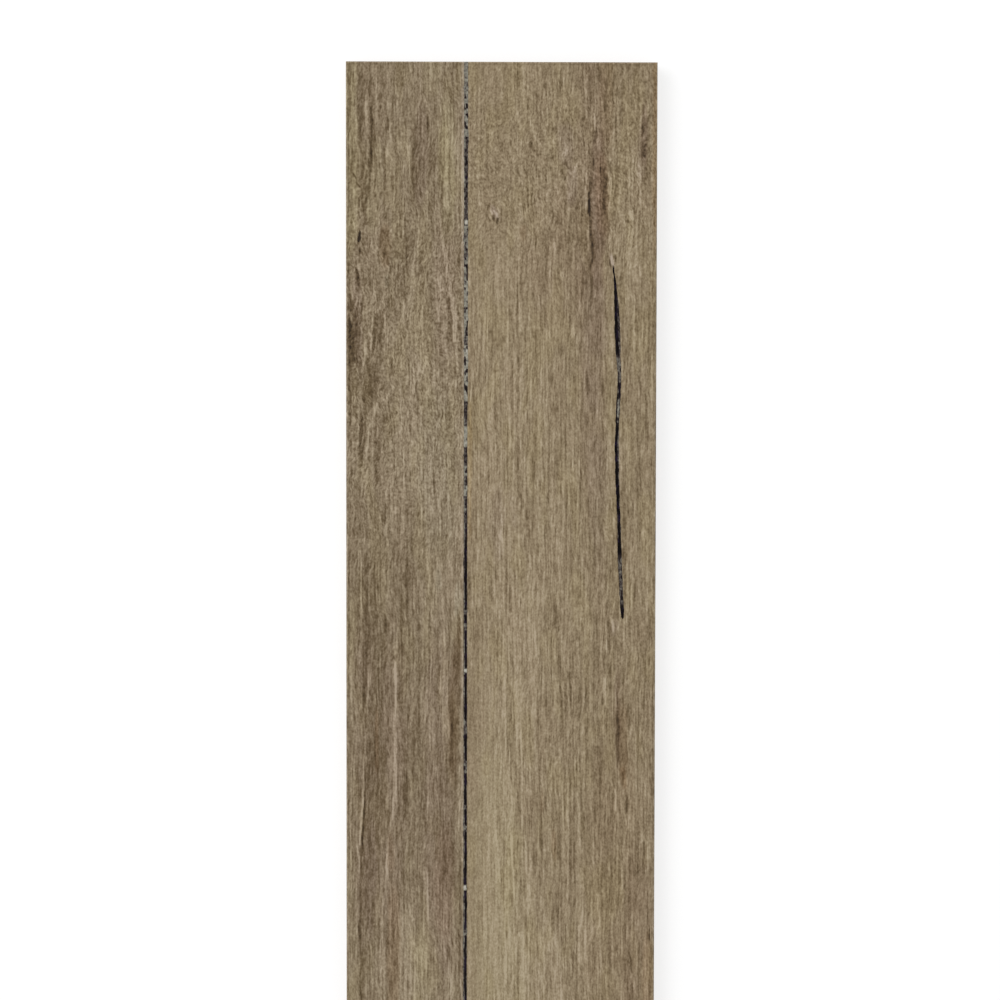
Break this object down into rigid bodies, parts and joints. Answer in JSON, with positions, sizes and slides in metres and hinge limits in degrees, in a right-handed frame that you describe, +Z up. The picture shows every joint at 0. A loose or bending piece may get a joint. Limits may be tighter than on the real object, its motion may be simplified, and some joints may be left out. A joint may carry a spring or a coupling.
{
  "type": "parquet floorboard",
  "caption": "Engineered oak parquet plank: two face strips with a black-filled seam and crack, on a plywood base grooved on all four edges.",
  "frame": {"origin": "centre of the underside, where the board rests on the subfloor", "axes": "+X across the board towards the edge that the crack lies near, +Y along the board towards its head end, +Z up through the oak face"},
  "size_m": [0.19, 1.9, 0.015],
  "materials": {
    "oak_face": "brushed, fumed grey-brown and matt oiled",
    "black_putty": "dull, slightly shrunk, dusty where brushed",
    "birch_plywood": "sanded veneer, sawn and milled edges"
  },
  "bodies": {
    "root": {"plywood_base": "birch_plywood", "narrow_face_strip": "oak_face", "wide_face_strip": "oak_face", "seam_filler": "black_putty", "crack_filler": "black_putty"}
  },
  "joints": []
}
